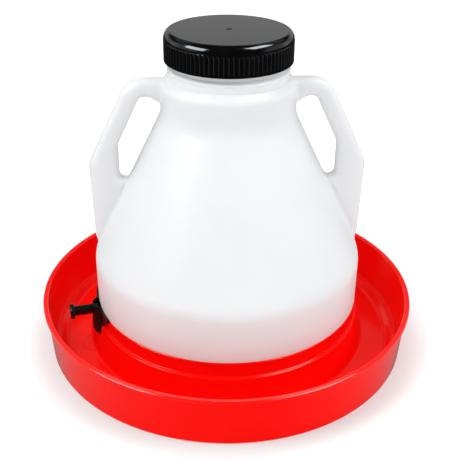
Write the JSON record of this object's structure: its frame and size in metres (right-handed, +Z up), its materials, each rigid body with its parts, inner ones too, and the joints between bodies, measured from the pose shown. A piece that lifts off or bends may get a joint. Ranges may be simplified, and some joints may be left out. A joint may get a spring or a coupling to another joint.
{
  "type": "poultry waterer",
  "caption": "Jug-fed drinking trough for poultry: a screw-capped jug with hollow side handles stands in a round trough and fills it through a push valve.",
  "frame": {"origin": "on the jug's axis, on the surface that the trough stands on", "axes": "+Z up along the axis, +X through the right-hand handle as the picture shows it"},
  "size_m": [0.42, 0.42, 0.3546],
  "materials": {
    "trough": "glossy moulded red",
    "jug": "milky, satin, slightly see-through",
    "valve": "satin black",
    "plunger": "semi-gloss black",
    "cap": "semi-gloss black",
    "seal": "matt black rubber",
    "liner": "white foam"
  },
  "bodies": {
    "base": {"trough": "trough", "jug": "jug", "valve_hood": "valve", "outlet_bush": "seal"},
    "plunger": {"valve_plunger": "plunger", "valve_stopper": "seal"},
    "liner": {"cap_liner": "liner"},
    "cap": {"cap": "cap"}
  },
  "joints": [
    {"name": "valve_push", "type": "slide", "parent": "base", "child": "plunger", "axis": [0.9724, 0.2334, 0], "range_m": [0, 0.0065]},
    {"name": "cap_lift", "type": "slide", "parent": "base", "child": "liner", "axis": [0, 0, 1], "range_m": [0, 0.0076]},
    {"name": "cap_turn", "type": "hinge", "parent": "liner", "child": "cap", "pos_m": [0, 0, 0.34], "axis": [0, 0, 1], "range_deg": [0, 540]}
  ],
  "couplings": [
    {"joint": "cap_lift", "follows": "cap_turn", "m_per_rad": 0.000796}
  ]
}
